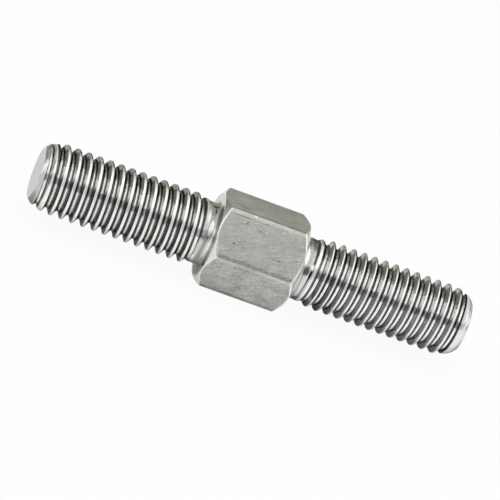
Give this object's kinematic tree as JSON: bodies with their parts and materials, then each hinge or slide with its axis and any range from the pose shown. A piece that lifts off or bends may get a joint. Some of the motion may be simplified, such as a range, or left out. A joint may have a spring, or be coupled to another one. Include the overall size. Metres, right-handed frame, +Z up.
{
  "type": "double end stud",
  "caption": "Stainless steel stud with a hexagon in the middle and a male thread to each end, right-hand on one side and left-hand on the other.",
  "frame": {"origin": "on the surface the stud lies on, below the middle of the hexagon", "axes": "+X along the stud's axis, from the right-hand thread to the left-hand thread; +Z up, square to the hexagon's upper flat"},
  "size_m": [0.05, 0.0114, 0.0098],
  "materials": {
    "stainless_steel": "rolled threads and turned necks, bright; hexagon flats satin with faint drawing marks"
  },
  "bodies": {
    "root": {"stud": "stainless_steel"}
  },
  "joints": []
}
